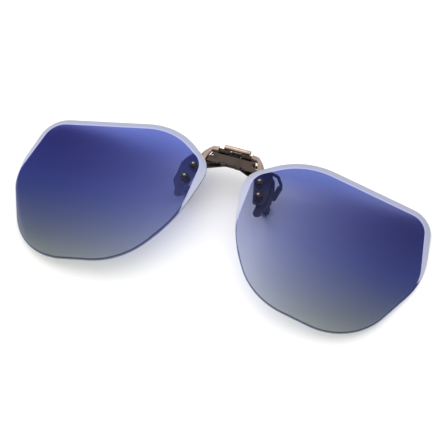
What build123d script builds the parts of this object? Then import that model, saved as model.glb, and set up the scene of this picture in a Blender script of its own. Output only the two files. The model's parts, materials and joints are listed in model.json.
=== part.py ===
from build123d import *
import os

# Clip-on sunglasses: two rimless tinted lenses on a flip-up bridge, with a sprung four-claw
# clamp behind it. Millimetres. The pieces are drawn as worn (+X to the viewer's right, -Y to
# the front, +Z up, lens centres at Z = 0). The finished pair is then laid on its back, lens
# fronts up, as it rests on a table.

# ---- Driving dimensions ----------------------------------------------------------------------

# Lens, in its own plane: x towards the temple, z up, y = 0 on the front face
LENS_CORNERS = [(-30.9, 14.0), (-15.2, 26.7), (26.8, 22.3), (31.0, 1.4),
                (17.4, -27.3), (-15.0, -23.7), (-26.6, -6.9)]
LENS_RADII = [8.7, 23.9, 8.6, 23.5, 19.4, 21.9, 44.0]
# The front face is smaller than the lens: a ground facet, wide along the top, dies out below
FACE_CORNERS = [(-27.6, 14.6), (-14.4, 24.4), (25.1, 20.3), (29.9, -0.4),
                (17.4, -27.15), (-15.7, -23.5), (-27.3, -4.4)]
FACE_RADII = [6.4, 22.0, 6.2, 14.6, 19.3, 21.8, 24.2]
LENS_THICKNESS = 1.2
FACET_DEPTH = 0.75
LENS_OFFSET = 35.5           # lens centre to the middle of the pair
WRAP_ANGLE = 11.2            # each lens turns its temple side back

# Rivets that hold each lens to its bracket
RIVET_PLACES = [(-25.3, 13.4), (-24.1, 8.9)]
RIVET_HEAD_RADIUS = 1.15
RIVET_HEAD_HEIGHT = 0.75
RIVET_SHANK_RADIUS = 0.5
RIVET_HOLE_RADIUS = 0.55
WASHER_RADIUS = 1.5
WASHER_THICKNESS = 0.4
COLLAR_RADIUS = 0.95
COLLAR_THICKNESS = 0.4

# Bracket and arm, one stamping behind each lens
BRACKET_THICKNESS = 0.7
BRACKET_OUTLINE = [(-27.6, 15.2), (-24.6, 17.9), (-22.9, 18.2), (-21.9, 16.4),
                   (-21.6, 8.4), (-22.7, 6.6), (-25.1, 6.6)]
BRACKET_CORNER = 0.8
ARM_WIDTH = 1.5

# Hinge line of the bridge and of the claws
PIN_Y = -3.05
PIN_Z = 21.3
PIN_RADIUS = 0.4
PIN_HALF_LENGTH = 7.1
KNUCKLE_RADIUS = 0.85
RUNNING_CLEARANCE = 0.05
FIXED_CLEARANCE = 0.01
BRIDGE_KNUCKLE = (5.3, 7.3)  # spans along X, each side
WASHER_SPAN = (5.0, 5.25)
JAW_KNUCKLE = (3.3, 4.95)
LEVER_KNUCKLE = (1.9, 3.2)

# Bridge plate between the two arms
PLATE_FRONT = -3.7
PLATE_BACK = -3.1
PLATE_TOP = 19.95
PLATE_BOTTOM = 16.7
PLATE_TOP_HALF = 6.85
PLATE_BOTTOM_HALF = 7.9

# Claw clamp
JAW_PLATE_FRONT = PIN_Y + 0.8
JAW_PLATE_THICKNESS = 0.55
JAW_PLATE_BOTTOM = 17.2
JAW_SLOT_TOP = PIN_Z - 1.2
CLAW_THICKNESS = 0.55
LOWER_CLAW_OUTLINE = [(2.4, 19.2), (9.8, 18.7), (13.9, 17.0), (15.0, 13.5), (15.6, 8.4), (13.9, 5.6),
                      (13.7, 3.4), (11.3, 3.4), (11.5, 8.4), (10.2, 14.2), (2.4, 17.4)]
LOWER_CLAW_RADII = [0.4, 2.0, 1.4, 3.0, 2.0, 1.0, 1.1, 1.1, 2.0, 3.0, 0.4]
LOWER_HOOK_PATH = [(12.7, -1.43, 7.0), (12.7, -1.43, 5.4), (12.7, 6.32, 8.6), (12.7, 6.32, 11.4)]
LOWER_HOOK_WIDTH = 1.5
LOWER_SLEEVE_SIZE = (2.1, 1.4, 2.5)
UPPER_CLAW_PATH = [(2.6, -0.53, 21.0), (13.6, 1.3, 20.2), (15.5, 1.6, 17.6), (15.1, 0.5, 12.3)]
CLAW_WIRE_RADIUS = 0.5
SLEEVE_RADIUS = 0.85
SLEEVE_LENGTH = 4.7
ROLL_PLACE = (PIN_Y, PIN_Z + 1.72)
ROLL_RADIUS = 0.78
ROLL_BORE = 0.5
ROLL_HALF_LENGTH = 4.1
BEAM_FRONT = PIN_Y + 1.8
BEAM_BACK = PIN_Y + 2.35

# Spring around the pin
SPRING_WIRE_RADIUS = 0.14
SPRING_COIL_RADIUS = 0.63
SPRING_HALF_LENGTH = 1.6
SPRING_PITCH = 0.4

REST_TILT = 0.2                # lens plane to the table, when the pair lies on its back

# ---- Helpers ---------------------------------------------------------------------------------


def front_prism(outline, y_front, y_back):
    """A flat outline drawn in X and Z, given a thickness from y_front back to y_back."""
    plane = Plane.XZ.offset(-y_front)
    return extrude(plane * outline, amount=y_front - y_back)


def outline_face(points, radii):
    """A closed flat outline with a rounded corner at each point."""
    return make_face(FilletPolyline(*points, radius=radii, close=True))


def disc_prism(x, z, radius, y_front, y_back):
    """A short cylinder along Y."""
    return front_prism(Pos(x, z) * Circle(radius), y_front, y_back)


def rod_along_x(radius, x_from, x_to, y, z):
    """A cylinder along X."""
    length = x_to - x_from
    return Pos((x_from + x_to) / 2, y, z) * (Rot(0, 90, 0) * Cylinder(radius, length))


def tube_along_x(radius, bore, x_from, x_to, y, z):
    """A tube along X."""
    return rod_along_x(radius, x_from, x_to, y, z) - rod_along_x(bore, x_from, x_to, y, z)


def wire_between(start, end):
    """A straight length of spring wire."""
    path = Line(start, end)
    return sweep(Plane(origin=path @ 0, z_dir=path % 0) * Circle(SPRING_WIRE_RADIUS), path=path)


def block(x_span, y_span, z_span):
    """A box between two limits along each axis."""
    size = [high - low for low, high in (x_span, y_span, z_span)]
    middle = [(low + high) / 2 for low, high in (x_span, y_span, z_span)]
    return Pos(*middle) * Box(*size)


def on_lens(piece):
    """Carries a piece from the right lens's own plane to its place in the pair."""
    return Pos(LENS_OFFSET, 0, 0) * (Rot(0, 0, WRAP_ANGLE) * piece)


def mirrored(piece):
    """The left-hand twin of a right-hand piece, solid by solid."""
    twins = [mirror(solid, about=Plane.YZ) for solid in piece.solids()]
    return twins[0] if len(twins) == 1 else Compound(twins)


def both_sides(span, make):
    """Two like pieces, at +X and -X, from a span of X."""
    low, high = span
    return make(low, high) + make(-high, -low)


# ---- Lenses and what is riveted to them ------------------------------------------------------


def lens():
    """Flat tinted lens with its ground facet and two rivet holes."""
    rim_plane = Plane.XZ.offset(-FACET_DEPTH)
    face = Plane.XZ * outline_face(FACE_CORNERS, FACE_RADII)
    rim = rim_plane * outline_face(LENS_CORNERS, LENS_RADII)
    facet = loft([face, rim], ruled=True)
    slab = extrude(rim, amount=FACET_DEPTH - LENS_THICKNESS)
    body = facet + slab
    for x, z in RIVET_PLACES:
        body -= disc_prism(x, z, RIVET_HOLE_RADIUS, -1.0, LENS_THICKNESS + 1.0)
    return body


def rivet(x, z):
    """Domed head in front of the lens, shank through to the back of the collar."""
    back = LENS_THICKNESS + WASHER_THICKNESS + BRACKET_THICKNESS + COLLAR_THICKNESS
    sphere_radius = (RIVET_HEAD_RADIUS ** 2 + RIVET_HEAD_HEIGHT ** 2) / (2 * RIVET_HEAD_HEIGHT)
    ball = Pos(x, sphere_radius - RIVET_HEAD_HEIGHT, z) * Sphere(sphere_radius)
    head = ball & disc_prism(x, z, RIVET_HEAD_RADIUS, -RIVET_HEAD_HEIGHT - 1.0, 0.0)
    shank = disc_prism(x, z, RIVET_SHANK_RADIUS, -0.3, back)
    return head + shank


def ring_behind(x, z, radius, y_front, thickness):
    """A washer or collar round a rivet's shank."""
    ring = disc_prism(x, z, radius, y_front, y_front + thickness)
    return ring - disc_prism(x, z, RIVET_SHANK_RADIUS + FIXED_CLEARANCE, y_front, y_front + thickness)


def at_rivets(make):
    """One piece at each rivet of the right lens, as a group of separate solids."""
    return Compound([on_lens(make(x, z)).solid() for x, z in RIVET_PLACES])


def bracket():
    """Stamped plate behind the lens, with the curved arm that rises to its hinge knuckle."""
    front = LENS_THICKNESS + WASHER_THICKNESS
    back = front + BRACKET_THICKNESS
    plate = outline_face(BRACKET_OUTLINE, [BRACKET_CORNER] * len(BRACKET_OUTLINE))
    inner_side = ThreePointArc((-27.4, 15.6), (-27.7, 18.5), (-28.6, 20.7))
    outer_side = ThreePointArc((-28.6, 22.0), (-26.8, 20.4), (-25.2, 17.2))
    arm = make_face([inner_side, Line(inner_side @ 1, outer_side @ 0), outer_side,
                     Line(outer_side @ 1, inner_side @ 0)])
    tab = make_face(Polyline((-30.6, 20.7), (-28.6, 20.7), (-28.6, 22.0), (-30.6, 22.0), close=True))
    stamping = front_prism(plate + arm + tab, front, back)
    for x, z in RIVET_PLACES:
        stamping -= disc_prism(x, z, RIVET_HOLE_RADIUS, front - 1.0, back + 1.0)
    low, high = BRIDGE_KNUCKLE
    bore = PIN_RADIUS + RUNNING_CLEARANCE
    knuckle = rod_along_x(KNUCKLE_RADIUS, low, high, PIN_Y, PIN_Z)
    ends = block((low, high), (PIN_Y - 5, PIN_Y + 5), (PIN_Z - 2, PIN_Z + 2))
    beyond = block((-50, low), (PIN_Y - 5, PIN_Y + 5), (PIN_Z - 2, PIN_Z + 2))
    piece = (on_lens(stamping) - beyond) + (knuckle & ends)
    return piece - rod_along_x(bore, low - 1, high + 1, PIN_Y, PIN_Z)


# ---- Bridge plate ----------------------------------------------------------------------------


def bridge_plate():
    """Front plate between the arms: two windows, a stepped lower edge and two small hooks."""
    outline = Polyline((-PLATE_TOP_HALF, PLATE_TOP), (PLATE_TOP_HALF, PLATE_TOP),
                       (PLATE_BOTTOM_HALF, PLATE_BOTTOM), (4.3, PLATE_BOTTOM),
                       (3.9, PLATE_BOTTOM + 0.45), (-3.9, PLATE_BOTTOM + 0.45),
                       (-4.3, PLATE_BOTTOM), (-PLATE_BOTTOM_HALF, PLATE_BOTTOM), close=True)
    face = make_face(outline)
    for side in (-1, 1):
        face -= Pos(side * 6.65, 18.75) * (Rot(0, 0, side * 16) * RectangleRounded(0.95, 1.3, 0.3))
    plate = front_prism(face, PLATE_FRONT, PLATE_BACK)
    lip = block((-3.9, 3.9), (PLATE_BACK - 0.6, PLATE_BACK + 0.5),
                (PLATE_BOTTOM + 0.45, PLATE_BOTTOM + 0.95))
    plate = plate + lip
    for middle in (-2.3, 2.3):
        hook = tube_along_x(0.62, 0.26, middle - 0.75, middle + 0.75, PLATE_FRONT + 0.3,
                            PLATE_BOTTOM + 0.1)
        plate = plate + hook
    return plate


# ---- Clamp -----------------------------------------------------------------------------------


def hinge_pin():
    """The one pin that carries the bridge, both jaws and the spring."""
    return rod_along_x(PIN_RADIUS, -PIN_HALF_LENGTH, PIN_HALF_LENGTH, PIN_Y, PIN_Z)


def friction_washer(low, high):
    """Thin spring washer that holds the lenses at any flip angle."""
    return tube_along_x(KNUCKLE_RADIUS, PIN_RADIUS + FIXED_CLEARANCE, low, high, PIN_Y, PIN_Z)


def jaw_plate():
    """Fixed jaw: two ears round the pin and the plate that carries the lower claws."""
    back = JAW_PLATE_FRONT + JAW_PLATE_THICKNESS
    low, high = JAW_KNUCKLE
    plate = block((-high, high), (JAW_PLATE_FRONT, back), (JAW_PLATE_BOTTOM, JAW_SLOT_TOP))
    ears = both_sides(JAW_KNUCKLE, lambda a, b: block(
        (a, b), (JAW_PLATE_FRONT - 0.2, back), (JAW_SLOT_TOP - 0.1, PIN_Z)))
    knuckles = both_sides(JAW_KNUCKLE, lambda a, b: rod_along_x(
        KNUCKLE_RADIUS, a, b, PIN_Y, PIN_Z))
    body = plate + ears + knuckles
    return body - rod_along_x(PIN_RADIUS + FIXED_CLEARANCE, -high - 1, high + 1, PIN_Y, PIN_Z)


def lower_claw():
    """Stamped strip from the fixed jaw, down behind the lens, hooked back and then up."""
    front = JAW_PLATE_FRONT + JAW_PLATE_THICKNESS
    strip = front_prism(outline_face(LOWER_CLAW_OUTLINE, LOWER_CLAW_RADII), front, front + CLAW_THICKNESS)
    path = FilletPolyline(*LOWER_HOOK_PATH, radius=0.8)
    start = Plane(origin=path @ 0, z_dir=path % 0, x_dir=(1, 0, 0))
    hook = sweep(start * Rectangle(LOWER_HOOK_WIDTH, CLAW_THICKNESS), path=path)
    return strip + hook


def lower_sleeve():
    """Soft sleeve pushed over the lower claw's upturned tip."""
    tip_x, tip_y, tip_z = LOWER_HOOK_PATH[-1]
    width, depth, height = LOWER_SLEEVE_SIZE
    outer = Pos(tip_x, tip_y, tip_z + 0.6 - height / 2) * Box(width, depth, height)
    outer = fillet(outer.edges(), 0.45)
    half_width = LOWER_HOOK_WIDTH / 2 + FIXED_CLEARANCE
    half_depth = CLAW_THICKNESS / 2 + FIXED_CLEARANCE
    pocket = block((tip_x - half_width, tip_x + half_width), (tip_y - half_depth, tip_y + half_depth),
                   (tip_z - height, tip_z + FIXED_CLEARANCE))
    return outer - pocket


def upper_claw():
    """Round wire from the moving jaw, out behind the lens, back and then down."""
    path = FilletPolyline(*UPPER_CLAW_PATH, radius=1.6)
    start = Plane(origin=path @ 0, z_dir=path % 0)
    return sweep(start * Circle(CLAW_WIRE_RADIUS), path=path)


def upper_sleeve():
    """Soft sleeve with a round end over the upper claw's tip."""
    bend, tip = [Vector(*place) for place in UPPER_CLAW_PATH[-2:]]
    direction = (tip - bend).normalized()
    cap_centre = tip + direction * 0.3
    along = Plane(origin=cap_centre, z_dir=direction * -1)
    body = along * (Pos(0, 0, SLEEVE_LENGTH / 2) * Cylinder(SLEEVE_RADIUS, SLEEVE_LENGTH))
    cap = Pos(*cap_centre) * Sphere(SLEEVE_RADIUS)
    bore_radius = CLAW_WIRE_RADIUS + FIXED_CLEARANCE
    bore = along * (Pos(0, 0, 0.3 + SLEEVE_LENGTH / 2) * Cylinder(bore_radius, SLEEVE_LENGTH))
    return (body + cap) - bore


def jaw_lever():
    """Moving jaw: two knuckles, webs back to the beam of the upper claws and up to the roll."""
    bore = PIN_RADIUS + RUNNING_CLEARANCE
    low, high = LEVER_KNUCKLE
    knuckles = both_sides(LEVER_KNUCKLE, lambda a, b: rod_along_x(
        KNUCKLE_RADIUS, a, b, PIN_Y, PIN_Z))
    webs = both_sides(LEVER_KNUCKLE, lambda a, b: block(
        (a, b), (PIN_Y + 0.5, BEAM_FRONT + 0.1), (PIN_Z - 0.3, PIN_Z + 0.3)))
    beam = block((-4.6, 4.6), (BEAM_FRONT, BEAM_BACK - 0.35), (PIN_Z - 0.55, PIN_Z + 0.4))
    roll_y, roll_z = ROLL_PLACE
    posts = both_sides(LEVER_KNUCKLE, lambda a, b: block(
        (a, b), (roll_y - 0.2, roll_y + 0.35), (PIN_Z + 0.5, roll_z)))
    body = knuckles + webs + beam + posts
    body -= rod_along_x(bore, -high - 1, high + 1, PIN_Y, PIN_Z)
    return body - rod_along_x(ROLL_RADIUS, -high - 1, high + 1, roll_y, roll_z)


def thumb_roll():
    """Rolled tab above the hinge that the wearer presses, open at both ends."""
    roll_y, roll_z = ROLL_PLACE
    return tube_along_x(ROLL_RADIUS, ROLL_BORE, -ROLL_HALF_LENGTH, ROLL_HALF_LENGTH, roll_y, roll_z)


def torsion_spring():
    """Coil round the pin, one leg down the fixed jaw, the other over the moving jaw's beam."""
    coil_path = Helix(SPRING_PITCH, 2 * SPRING_HALF_LENGTH, SPRING_COIL_RADIUS)
    start = Plane(origin=coil_path @ 0, z_dir=coil_path % 0)
    coil = sweep(start * Circle(SPRING_WIRE_RADIUS), path=coil_path, is_frenet=True)
    coil = Pos(-SPRING_HALF_LENGTH, PIN_Y, PIN_Z) * (Rot(0, 90, 0) * coil)
    fixed_leg = wire_between((-SPRING_HALF_LENGTH, PIN_Y + SPRING_COIL_RADIUS, PIN_Z + 0.1),
                          (-SPRING_HALF_LENGTH, PIN_Y + SPRING_COIL_RADIUS, PIN_Z - 3.2))
    moving_leg = wire_between((SPRING_HALF_LENGTH, PIN_Y - 0.1, PIN_Z + SPRING_COIL_RADIUS),
                           (SPRING_HALF_LENGTH, BEAM_BACK + 0.4, PIN_Z + SPRING_COIL_RADIUS))
    return coil + fixed_leg + moving_leg


# ---- The pair, piece by piece ----------------------------------------------------------------


def build_pieces():
    """Every piece by name, as worn."""
    pieces = {}

    def pair_of(name, right_piece):
        pieces["right_" + name] = right_piece
        pieces["left_" + name] = mirrored(right_piece)

    washer_front = LENS_THICKNESS
    collar_front = LENS_THICKNESS + WASHER_THICKNESS + BRACKET_THICKNESS
    pair_of("lens", on_lens(lens()))
    pair_of("lens_rivets", at_rivets(rivet))
    pair_of("lens_washers", at_rivets(lambda x, z: ring_behind(
        x, z, WASHER_RADIUS, washer_front, WASHER_THICKNESS)))
    pair_of("rivet_collars", at_rivets(lambda x, z: ring_behind(
        x, z, COLLAR_RADIUS, collar_front, COLLAR_THICKNESS)))
    pair_of("lens_bracket", bracket())
    pieces["bridge_plate"] = bridge_plate()
    pieces["hinge_pin"] = hinge_pin()
    pair_of("friction_washer", friction_washer(*WASHER_SPAN))
    pieces["jaw_plate"] = jaw_plate()
    pair_of("lower_claw", lower_claw())
    pair_of("lower_sleeve", lower_sleeve())
    pieces["jaw_lever"] = jaw_lever()
    pieces["thumb_roll"] = thumb_roll()
    pair_of("upper_claw", upper_claw())
    pair_of("upper_sleeve", upper_sleeve())
    pieces["torsion_spring"] = torsion_spring()
    return pieces


def lay_down(pieces):
    """Lays the pair on its back and centres it over the origin, lowest point at Z = 0."""
    turn = Rot(REST_TILT - 90, 0, 0)
    boxes = [(turn * piece).bounding_box() for piece in pieces.values()]
    middle_y = (min(box.min.Y for box in boxes) + max(box.max.Y for box in boxes)) / 2
    shift = Pos(0, -middle_y, -min(box.min.Z for box in boxes))
    hinge = (shift * turn * Pos(0, PIN_Y, PIN_Z)).position
    print(f"hinge line at Y {hinge.Y:.4f}, Z {hinge.Z:.4f}; moved by Y {shift.position.Y:.4f}, "
          f"Z {shift.position.Z:.4f}")
    return {name: shift * turn * piece for name, piece in pieces.items()}


os.makedirs("parts", exist_ok=True)
for node, solid in lay_down(build_pieces()).items():
    export_step(solid, f"parts/{node}.step")
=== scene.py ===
# Clip-on sunglasses lying on their back on a pale table, lens fronts up.
# Metres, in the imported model's own frame: +X to the right lens, +Y to the lens tops, +Z up.
import json
import math

import bpy
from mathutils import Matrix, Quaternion, Vector


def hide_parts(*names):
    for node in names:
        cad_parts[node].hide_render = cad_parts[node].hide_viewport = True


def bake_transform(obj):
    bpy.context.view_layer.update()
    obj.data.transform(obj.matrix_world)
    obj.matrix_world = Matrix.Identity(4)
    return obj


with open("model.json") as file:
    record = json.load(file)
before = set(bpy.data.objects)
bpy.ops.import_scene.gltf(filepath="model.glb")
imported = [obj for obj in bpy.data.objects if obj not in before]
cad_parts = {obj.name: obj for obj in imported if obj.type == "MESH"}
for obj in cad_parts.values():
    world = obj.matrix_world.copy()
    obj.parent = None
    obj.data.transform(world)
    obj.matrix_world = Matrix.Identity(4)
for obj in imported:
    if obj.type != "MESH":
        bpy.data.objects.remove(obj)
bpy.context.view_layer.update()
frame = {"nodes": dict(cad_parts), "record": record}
nodes = frame["nodes"]

# ---- Lens planes, as the CAD source lays them ----------------------------------------------------
MM = 0.001
REST_TILT = math.radians(0.2)            # lens plane to the table
WRAP = math.radians(11.2)                # each lens turns its temple side back
LENS_OFFSET = 35.5 * MM                  # lens centre to the middle of the pair
LIFT = 6.9852 * MM                       # how far the pair is raised to lie on the table
FACE_LEVEL = LENS_OFFSET * math.sin(WRAP) + LIFT * math.cos(WRAP)    # front face, along its normal
UP_LENS = (0.0, math.cos(REST_TILT), math.sin(REST_TILT))            # from a lens's foot to its top

# ---- Lens tint: what one surface lets through ----------------------------------------------------
TINT_FOOT = (0.60, 0.62, 0.55)           # warm grey-green at the bottom
TINT_WAIST = (0.36, 0.39, 0.57)          # slate blue across the middle
TINT_CROWN = (0.28, 0.28, 0.48)          # deep blue under the top edge
PAINTED_LIGHT_PALE = (0.80, 0.82, 0.90)           # painted reflection and lighter shade: what the tint fades to, towards the nose
TINT_BOTTOM = -24.0 * MM
TINT_TOP = 16.0 * MM
WAIST_SHARE = 0.6                        # the waist's place between bottom and top
PAINTED_LIGHT_FADE_START = 26.0 * MM                   # the painted fade grows from this line near the temple
PAINTED_LIGHT_FADE_END = -20.0 * MM                    # to this one near the nose
PAINTED_LIGHT_FADE_POWER = 1.6
# Painted light: how far each lens fades to the pale colour, all over and towards the nose
LEFT_PAINTED_LIGHT_FADE = {"all_over": 0.0, "at_nose": 0.35}
RIGHT_PAINTED_LIGHT_FADE = {"all_over": 0.15, "at_nose": 0.50}

# ---- Painted reflection: a brighter blue band painted above a sloping line -----------------------
PAINTED_REFLECTION_TINT = (0.36, 0.41, 0.66)
PAINTED_REFLECTION_SLOPE = 0.2
PAINTED_REFLECTION_HEIGHT = 16.0 * MM                # the line's height at the lens centre
PAINTED_REFLECTION_WAVER = 0.4 * MM
PAINTED_REFLECTION_SOFTNESS = (-0.5 * MM, 6.5 * MM)  # the band comes in over this height

# ---- Lens surface: film, ground facet and edge wall ----------------------------------------------
FILM_COLOUR = (0.27, 0.31, 0.74, 1.0)
FILM_ROUGHNESS = 0.16
FILM_SHARE = 0.45
PLASTIC_IOR = 1.5
# Ground facet: a pale painted floor light low down and a grey painted table shadow higher up, both as seen
# through the facet
FACET_PAINTED_FLOOR_LIGHT = (0.50, 0.52, 0.63)
FACET_PAINTED_SHADOW = (0.33, 0.35, 0.42)
FACET_INNER = (0.40, 0.42, 0.70)         # along the facet's inner edge
FACET_GRAIN = (0.25, 0.26, 0.34)
EDGE_FRONT = (0.16, 0.17, 0.24)
EDGE_BACK = (0.80, 0.82, 0.88)
# How far a surface faces along the lens axis (1 is the flat front, 0 the edge wall)
WALL_BELOW = (0.5, 0.4)
FACET_ABOVE = (0.45, 0.55)
FACET_BELOW = (0.9975, 0.992)
# Depths under the front face
EDGE_CHANGE = (0.5 * MM, 0.9 * MM)
INNER_EDGE = (0.30 * MM, 0.05 * MM)
FACET_PAINTED_LIGHT_HEIGHTS = (-4.0 * MM, 20.0 * MM)     # heights between the facet's painted floor light low down and its painted shadow higher up

# ---- Bracket: where the painted shade on the plate behind the lens begins, from the middle of the pair ---
PAINTED_SHADE_START = 9.0 * MM
PAINTED_SHADE_FULL = 10.5 * MM
RIVET_PAINTED_HIGHLIGHT_AIM = (-0.06, 0.10, 0.99)    # the way the painted highlight on the crown faces

# ---- Camera, light and floor ---------------------------------------------------------------------
CAMERA_AIM = Vector((2.0 * MM, 2.92 * MM, 0.0))
CAMERA_DISTANCE = 0.9021
CAMERA_ROUND = math.radians(27.30)       # from the front towards the right lens
CAMERA_HEIGHT = math.radians(57.96)      # above the table
CAMERA_ROLL = math.radians(-8.66)
CAMERA_LENS = 241.0
CAMERA_CLIP = (0.05, 20.0)
WORLD_COLOUR = (0.99, 0.98, 0.955, 1.0)
WORLD_STRENGTH = 0.92
FLOOR_HALF = 3.0

# ---- Small node helpers --------------------------------------------------------------------------


class Graph:
    """One material's node tree, with short calls for the nodes used here."""

    def __init__(self, name):
        self.mat = bpy.data.materials.new(name)
        self.mat.use_nodes = True
        self.tree = self.mat.node_tree
        self.tree.nodes.clear()
        self.out = self.tree.nodes.new("ShaderNodeOutputMaterial")

    def add(self, kind, **settings):
        node = self.tree.nodes.new(kind)
        for key, value in settings.items():
            setattr(node, key, value)
        return node

    def feed(self, socket, value):
        if isinstance(value, bpy.types.NodeSocket):
            self.tree.links.new(value, socket)
        else:
            socket.default_value = value

    def math(self, operation, a, b=0.5):
        node = self.add("ShaderNodeMath", operation=operation)
        self.feed(node.inputs[0], a)
        self.feed(node.inputs[1], b)
        return node.outputs[0]

    def dot(self, a, b):
        node = self.add("ShaderNodeVectorMath", operation="DOT_PRODUCT")
        self.feed(node.inputs[0], a)
        self.feed(node.inputs[1], b)
        return node.outputs["Value"]

    def span(self, value, low, high, to_low=0.0, to_high=1.0, smooth=False):
        """The value's place from low to high, as a clamped number from to_low to to_high."""
        node = self.add("ShaderNodeMapRange", clamp=True)
        node.interpolation_type = "SMOOTHSTEP" if smooth else "LINEAR"
        for socket, v in zip(node.inputs[:5], (value, low, high, to_low, to_high)):
            self.feed(socket, v)
        return node.outputs[0]

    def ramp(self, value, stops):
        node = self.add("ShaderNodeValToRGB")
        elements = node.color_ramp.elements
        while len(elements) < len(stops):
            elements.new(0.5)
        for element, (place, colour) in zip(elements, stops):
            element.position = place
            element.color = (*colour, 1.0)
        self.feed(node.inputs[0], value)
        return node.outputs[0]

    def mix(self, share, a, b, blend="MIX"):
        node = self.add("ShaderNodeMix", data_type="RGBA", blend_type=blend)
        node.clamp_factor = True
        self.feed(node.inputs[0], share)
        for socket, value in ((node.inputs[6], a), (node.inputs[7], b)):
            self.feed(socket, with_alpha(value))
        return node.outputs[2]

    def coords(self, kind="Object"):
        return self.add("ShaderNodeTexCoord").outputs[kind]

    def noise(self, scale, detail, stretch=None):
        vector = self.coords()
        if stretch:
            mapping = self.add("ShaderNodeMapping")
            self.feed(mapping.inputs["Vector"], vector)
            mapping.inputs["Scale"].default_value = stretch
            vector = mapping.outputs[0]
        node = self.add("ShaderNodeTexNoise")
        self.feed(node.inputs["Vector"], vector)
        node.inputs["Scale"].default_value = scale
        node.inputs["Detail"].default_value = detail
        return node.outputs[0]

    def bump(self, height, distance, strength):
        node = self.add("ShaderNodeBump")
        node.inputs["Strength"].default_value = strength
        node.inputs["Distance"].default_value = distance
        self.feed(node.inputs["Height"], height)
        return node.outputs[0]

    def principled(self, **sockets):
        node = self.add("ShaderNodeBsdfPrincipled")
        for key, value in sockets.items():
            self.feed(node.inputs[key.replace("_", " ")], with_alpha(value))
        return node.outputs[0]

    def shader_mix(self, share, a, b):
        node = self.add("ShaderNodeMixShader")
        self.feed(node.inputs[0], share)
        self.tree.links.new(a, node.inputs[1])
        self.tree.links.new(b, node.inputs[2])
        return node.outputs[0]

    def done(self, shader):
        self.tree.links.new(shader, self.out.inputs["Surface"])
        return self.mat


def with_alpha(value):
    """A plain colour gets its alpha; anything else passes through."""
    if isinstance(value, tuple) and len(value) == 3:
        return (*value, 1.0)
    return value


# ---- Lens ----------------------------------------------------------------------------------------


def lens_tint_with_painted_light(g, across, upward, painted_light_fade):
    """Three colours by height, painted paler towards the nose, with a painted blue reflection over the top.
    """
    height = g.span(upward, TINT_BOTTOM, TINT_TOP)
    tint = g.ramp(height, [(0.0, TINT_FOOT), (WAIST_SHARE, TINT_WAIST), (1.0, TINT_CROWN)])
    # Painted light: the tint fades paler towards the nose, and all over on the right lens
    to_nose = g.math("POWER", g.span(across, PAINTED_LIGHT_FADE_START, PAINTED_LIGHT_FADE_END), PAINTED_LIGHT_FADE_POWER)
    painted_light_share = g.math("ADD", g.math("MULTIPLY", to_nose, painted_light_fade["at_nose"]), painted_light_fade["all_over"])
    tint = g.mix(painted_light_share, tint, PAINTED_LIGHT_PALE)
    # Painted reflection: a brighter blue band over the top, above a sloping line with a slight waver
    reflection_waver = g.span(g.noise(55.0, 2.0), 0.3, 0.7, -PAINTED_REFLECTION_WAVER, PAINTED_REFLECTION_WAVER)
    line = g.math("ADD", g.math("MULTIPLY", across, PAINTED_REFLECTION_SLOPE), PAINTED_REFLECTION_HEIGHT)
    above_reflection_line = g.math("ADD", g.math("SUBTRACT", upward, line), reflection_waver)
    return g.mix(g.span(above_reflection_line, *PAINTED_REFLECTION_SOFTNESS), tint, PAINTED_REFLECTION_TINT)


def filmed_plastic(g, tint):
    """Clear tinted plastic under a thin blue mirror film."""
    clear = g.add("ShaderNodeBsdfTransparent")
    g.feed(clear.inputs[0], tint)
    film = g.add("ShaderNodeBsdfGlossy")
    film.inputs["Color"].default_value = FILM_COLOUR
    film.inputs["Roughness"].default_value = FILM_ROUGHNESS
    fresnel = g.add("ShaderNodeFresnel")
    fresnel.inputs["IOR"].default_value = PLASTIC_IOR
    share = g.math("MULTIPLY", fresnel.outputs[0], FILM_SHARE)
    return g.shader_mix(share, clear.outputs[0], film.outputs[0])


def lens_material(name, side, painted_light_fade):
    """Gradient-tinted lens with a ground facet painted with the floor's light and shadow seen through it,
    and an edge wall that darkens to the front.
    """
    g = Graph(name)
    here = g.coords()
    across = g.math("SUBTRACT", g.dot(here, (side, 0.0, 0.0)), LENS_OFFSET)
    upward = g.dot(here, UP_LENS)
    outward, level = math.sin(WRAP), math.cos(WRAP)
    front = (side * outward, -level * math.sin(REST_TILT), level * math.cos(REST_TILT))
    facing = g.dot(g.coords("Normal"), front)
    depth = g.math("SUBTRACT", FACE_LEVEL, g.dot(here, front))

    wall = g.span(g.math("ABSOLUTE", facing), *WALL_BELOW)
    edge_tint = g.mix(g.span(depth, *EDGE_CHANGE), EDGE_FRONT, EDGE_BACK)
    tint = g.mix(wall, lens_tint_with_painted_light(g, across, upward, painted_light_fade), edge_tint)
    glass = filmed_plastic(g, tint)

    grain = g.noise(1500.0, 3.0)
    # Painted light: the facet's colour stands in for the floor and its shadow seen through it, with real
    # grain on top
    facet_grain_and_painted_light = g.mix(g.span(upward, *FACET_PAINTED_LIGHT_HEIGHTS), FACET_PAINTED_FLOOR_LIGHT, FACET_PAINTED_SHADOW)
    facet_grain_and_painted_light = g.mix(g.span(depth, *INNER_EDGE), facet_grain_and_painted_light, FACET_INNER)
    facet_grain_and_painted_light = g.mix(g.span(grain, 0.3, 0.7, 0.0, 0.12), facet_grain_and_painted_light, FACET_GRAIN)
    facet_painted_surface = g.principled(Base_Color=facet_grain_and_painted_light, Roughness=0.5, Normal=g.bump(grain, 0.00001, 0.3))
    facet = g.math("MULTIPLY", g.span(facing, *FACET_ABOVE), g.span(facing, *FACET_BELOW))
    cover = g.math("MULTIPLY", facet, g.span(grain, 0.3, 0.7, 0.80, 0.88))
    return g.done(g.shader_mix(cover, glass, facet_painted_surface))


# ---- Metals --------------------------------------------------------------------------------------


def drawn_lines(g):
    """Faint lines along X from drawing and stamping."""
    return g.noise(900.0, 2.0, stretch=(0.25, 6.0, 6.0))


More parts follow.
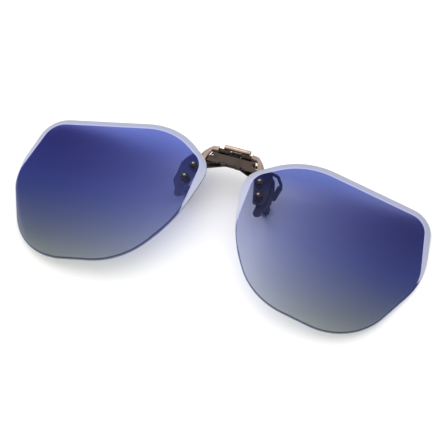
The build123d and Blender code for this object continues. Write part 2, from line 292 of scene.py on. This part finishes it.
def metal(name, base, rough, variation=0.25):
    """Plated metal with faint drawing lines and cloudy plating."""
    g = Graph(name)
    lines = drawn_lines(g)
    shade = g.span(g.noise(420.0, 4.0), 0.3, 0.7, 1.0 - variation, 1.0 + variation)
    grey = g.ramp(shade, [(0.0, (0.0, 0.0, 0.0)), (1.0, (1.0, 1.0, 1.0))])
    colour = g.mix(1.0, base, grey, "MULTIPLY")
    roughness = g.span(lines, 0.2, 0.8, rough * 0.75, rough * 1.3)
    normal = g.bump(lines, 0.00002, 0.35)
    return g.done(g.principled(Base_Color=colour, Metallic=1.0, Roughness=roughness, Normal=normal))


def bracket_metal_with_painted_shade(name, arm, plate):
    """The bracket's plating: bright on the open arm, with painted shade darkening the plate behind the lens.
    """
    g = Graph(name)
    lines = drawn_lines(g)
    from_middle = g.math("ABSOLUTE", g.dot(g.coords(), (1.0, 0.0, 0.0)))
    # Painted shade: the plate behind the lens is darkened
    colour = g.mix(g.span(from_middle, PAINTED_SHADE_START, PAINTED_SHADE_FULL), arm, plate)
    cloud = g.span(g.noise(420.0, 4.0), 0.3, 0.7, 0.0, 0.4)
    colour = g.mix(cloud, colour, tuple(0.6 * c for c in plate))
    roughness = g.span(lines, 0.2, 0.8, 0.24, 0.4)
    normal = g.bump(lines, 0.00002, 0.35)
    return g.done(g.principled(Base_Color=colour, Metallic=1.0, Roughness=roughness, Normal=normal))


def rivet(name):
    """Dark domed rivet with a small painted highlight on its crown and turning marks."""
    g = Graph(name)
    painted_highlight = g.span(g.dot(g.coords("Normal"), RIVET_PAINTED_HIGHLIGHT_AIM), 0.93, 0.995, smooth=True)
    marks = g.noise(1800.0, 3.0)
    shade = g.mix(g.span(marks, 0.3, 0.7), (0.022, 0.020, 0.021), (0.045, 0.040, 0.042))
    # Painted highlight: the crown is painted pale grey
    colour = g.mix(painted_highlight, shade, (0.27, 0.26, 0.25))
    roughness = g.span(marks, 0.2, 0.8, 0.2, 0.34)
    normal = g.bump(marks, 0.00001, 0.3)
    return g.done(g.principled(Base_Color=colour, Metallic=1.0, Roughness=roughness, Normal=normal))


# ---- Soft pieces and table -----------------------------------------------------------------------


def soft(name, base, rough):
    """Moulded rubber or nylon with a fine grain."""
    g = Graph(name)
    grain = g.noise(2600.0, 3.0)
    colour = g.mix(g.span(grain, 0.35, 0.7), base, tuple(c * 1.6 for c in base))
    roughness = g.span(grain, 0.3, 0.7, rough * 0.85, rough * 1.1)
    normal = g.bump(grain, 0.00002, 0.3)
    return g.done(g.principled(Base_Color=colour, Roughness=roughness, Normal=normal))


def floor_material():
    """Pale matt table top with a very faint grain."""
    g = Graph("table_top")
    colour = g.mix(g.noise(60.0, 4.0), (0.90, 0.90, 0.905), (0.93, 0.93, 0.93))
    return g.done(g.principled(Base_Color=colour, Roughness=0.9, Specular_IOR_Level=0.1))


# ---- Which material each piece has ---------------------------------------------------------------
SLOT_MATERIALS = {
    "bridge_bronze": metal("bridge_bronze_plate", (0.050, 0.038, 0.032), 0.32),
    "clamp_bronze": metal("clamp_bronze_plate", (0.040, 0.029, 0.024), 0.36),
    "claw_wire": metal("claw_wire_plate", (0.075, 0.055, 0.043), 0.34),
    "roll_bronze": metal("roll_bronze_plate", (0.47, 0.355, 0.295), 0.28),
    "rivet_metal": rivet("rivet_gunmetal"),
    "pin_steel": metal("pin_dark_steel", (0.040, 0.034, 0.031), 0.3),
    "spring_wire": metal("spring_oiled_wire", (0.022, 0.019, 0.018), 0.3),
    "nylon_washer": soft("washer_nylon", (0.02, 0.018, 0.02), 0.45),
    "claw_sleeve": soft("claw_soft_sleeve", (0.018, 0.016, 0.018), 0.55),
}
# The bracket's second colour is painted shade, for the plate behind the lens
BRACKET = bracket_metal_with_painted_shade("lens_bracket_plate", (0.235, 0.180, 0.150), (0.075, 0.055, 0.044))
NODE_MATERIALS = {
    "left_lens": lens_material("tint_left", -1.0, LEFT_PAINTED_LIGHT_FADE),
    "right_lens": lens_material("tint_right", 1.0, RIGHT_PAINTED_LIGHT_FADE),
    "left_lens_bracket": BRACKET,
    "right_lens_bracket": BRACKET,
    "left_lower_claw": SLOT_MATERIALS["claw_wire"],
    "right_lower_claw": SLOT_MATERIALS["claw_wire"],
}
slot_of = {row["node"]: row["material_slot"] for row in frame["record"]["subparts"]}
for node, obj in nodes.items():
    material = NODE_MATERIALS.get(node) or SLOT_MATERIALS[slot_of[node]]
    for slot in obj.material_slots:
        slot.material = material

# ---- Torsion spring: a copy of the coil with a mesh of its own -----------------------------------


def flexing_spring(node="torsion_spring"):
    """A copy of the spring as an object of its own, with the original spring hidden."""
    piece = bpy.data.objects.new("spring_coil_with_legs", nodes[node].data.copy())
    bpy.context.scene.collection.objects.link(piece)
    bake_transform(piece)
    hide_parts(node)


flexing_spring()

# ---- Floor, light and camera ---------------------------------------------------------------------


def floor():
    """A square table top at Z = 0."""
    corners = [(x * FLOOR_HALF, y * FLOOR_HALF, 0) for x, y in ((-1, -1), (1, -1), (1, 1), (-1, 1))]
    mesh = bpy.data.meshes.new("table_top")
    mesh.from_pydata(corners, [], [(0, 1, 2, 3)])
    top = bpy.data.objects.new("table_top", mesh)
    bpy.context.scene.collection.objects.link(top)
    mesh.materials.append(floor_material())


def softbox(name, place, size, power):
    """A rectangular light that faces the middle of the table."""
    light = bpy.data.lights.new(name, "AREA")
    light.shape = "RECTANGLE"
    light.size, light.size_y = size
    light.energy = power
    obj = bpy.data.objects.new(name, light)
    bpy.context.scene.collection.objects.link(obj)
    obj.location = place
    obj.rotation_euler = (-Vector(place)).to_track_quat("-Z", "Y").to_euler()


def studio_world():
    """Even pale light from all round."""
    world = bpy.data.worlds.new("studio")
    world.use_nodes = True
    background = world.node_tree.nodes["Background"]
    background.inputs["Color"].default_value = WORLD_COLOUR
    background.inputs["Strength"].default_value = WORLD_STRENGTH
    bpy.context.scene.world = world
    bpy.context.scene.view_settings.view_transform = "Standard"


def camera():
    """A long lens aimed near the middle of the pair, turned a little about its own axis."""
    level = math.cos(CAMERA_HEIGHT)
    away = Vector((math.sin(CAMERA_ROUND) * level, -math.cos(CAMERA_ROUND) * level, math.sin(CAMERA_HEIGHT)))
    data = bpy.data.cameras.new("camera")
    data.lens = CAMERA_LENS
    data.sensor_width = 36.0
    data.clip_start, data.clip_end = CAMERA_CLIP
    obj = bpy.data.objects.new("camera", data)
    bpy.context.scene.collection.objects.link(obj)
    obj.rotation_mode = "QUATERNION"
    obj.location = CAMERA_AIM + away * CAMERA_DISTANCE
    roll = Quaternion((0.0, 0.0, 1.0), CAMERA_ROLL)
    obj.rotation_quaternion = (-away).to_track_quat("-Z", "Y") @ roll
    bpy.context.scene.camera = obj


floor()
softbox("softbox_overhead", (0.0, 0.35, 1.1), (1.8, 1.5), 9.6)
softbox("softbox_left", (-0.9, 0.3, 0.7), (0.9, 0.9), 3.5)
studio_world()
camera()
